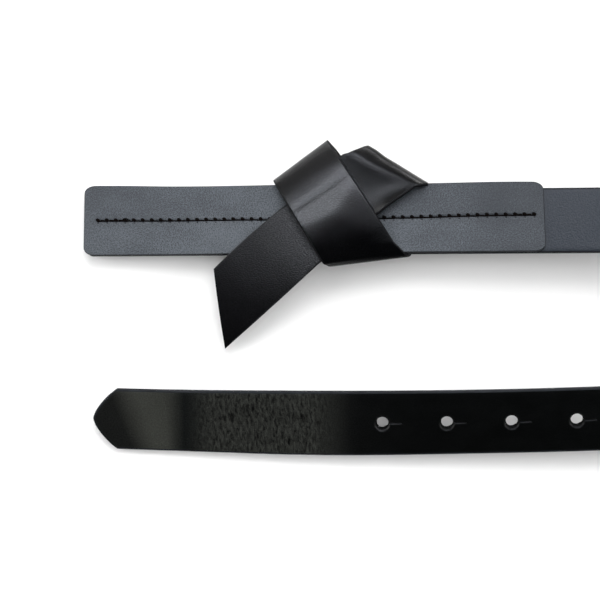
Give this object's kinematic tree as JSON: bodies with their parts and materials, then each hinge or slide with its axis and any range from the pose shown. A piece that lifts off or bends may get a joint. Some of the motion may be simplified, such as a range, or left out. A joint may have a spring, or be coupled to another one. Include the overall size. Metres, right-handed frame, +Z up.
{
  "type": "leather belt",
  "caption": "Belt with a leather knot in place of a buckle: stitched front panel, crossed band with a loose tail, pointed hole end, hidden stud closure.",
  "frame": {"origin": "on the floor, under the middle of the belt's box as it lies", "axes": "+X from the two free ends towards the loop, +Y from the hole end towards the knotted front end, +Z up"},
  "size_m": [0.5288, 0.1472, 0.0353],
  "materials": {
    "strap_leather": "smooth black leather, lightly waxed, dyed and bevelled edges",
    "panel_leather": "matt slate-black leather with a fine even grain",
    "knot_leather": "soft glossy black leather, pebbled on the tail",
    "thread": "waxed black thread",
    "stud_metal": "gunmetal"
  },
  "bodies": {
    "loop": {"strap_loop": "strap_leather"},
    "front_end": {"strap_front_section": "strap_leather", "front_panel": "panel_leather", "knot_band": "knot_leather", "seam_left_needle_thread": "thread", "seam_left_bobbin_thread": "thread", "seam_right_needle_thread": "thread", "seam_right_bobbin_thread": "thread", "stud_post": "stud_metal", "stud_screw": "stud_metal"},
    "tail": {"knot_tail": "knot_leather"},
    "lower_run": {"strap_lower_run": "strap_leather"},
    "hole_end": {"strap_hole_run": "strap_leather"},
    "tip_end": {"strap_tip": "strap_leather"}
  },
  "joints": [
    {"name": "front_lift", "type": "hinge", "parent": "loop", "child": "front_end", "pos_m": [-0.01995, 0.03547, 0.02326], "axis": [0.0025, 0.9962, -0.0869], "range_deg": [0, 50], "stiffness_Nm_per_rad": 0.04},
    {"name": "loop_open", "type": "hinge", "parent": "loop", "child": "lower_run", "pos_m": [0.26435, -0.00259, 0.015], "axis": [0, 0, 1], "range_deg": [0, 50], "stiffness_Nm_per_rad": 0.04},
    {"name": "run_lift", "type": "hinge", "parent": "lower_run", "child": "hole_end", "pos_m": [0.0142, -0.05482, 0.01855], "axis": [-0.0609, 0.9768, 0.2052], "range_deg": [0, 40], "stiffness_Nm_per_rad": 0.04},
    {"name": "tip_lift", "type": "hinge", "parent": "hole_end", "child": "tip_end", "pos_m": [-0.15061, -0.05901, 0.01046], "axis": [-0.009, 0.9781, 0.2077], "range_deg": [0, 60], "stiffness_Nm_per_rad": 0.03},
    {"name": "tail_lift", "type": "hinge", "parent": "front_end", "child": "tail", "pos_m": [-0.16314, 0.02839, 0.01668], "axis": [-0.5362, 0.8363, -0.1146], "range_deg": [0, 45], "stiffness_Nm_per_rad": 0.01}
  ]
}
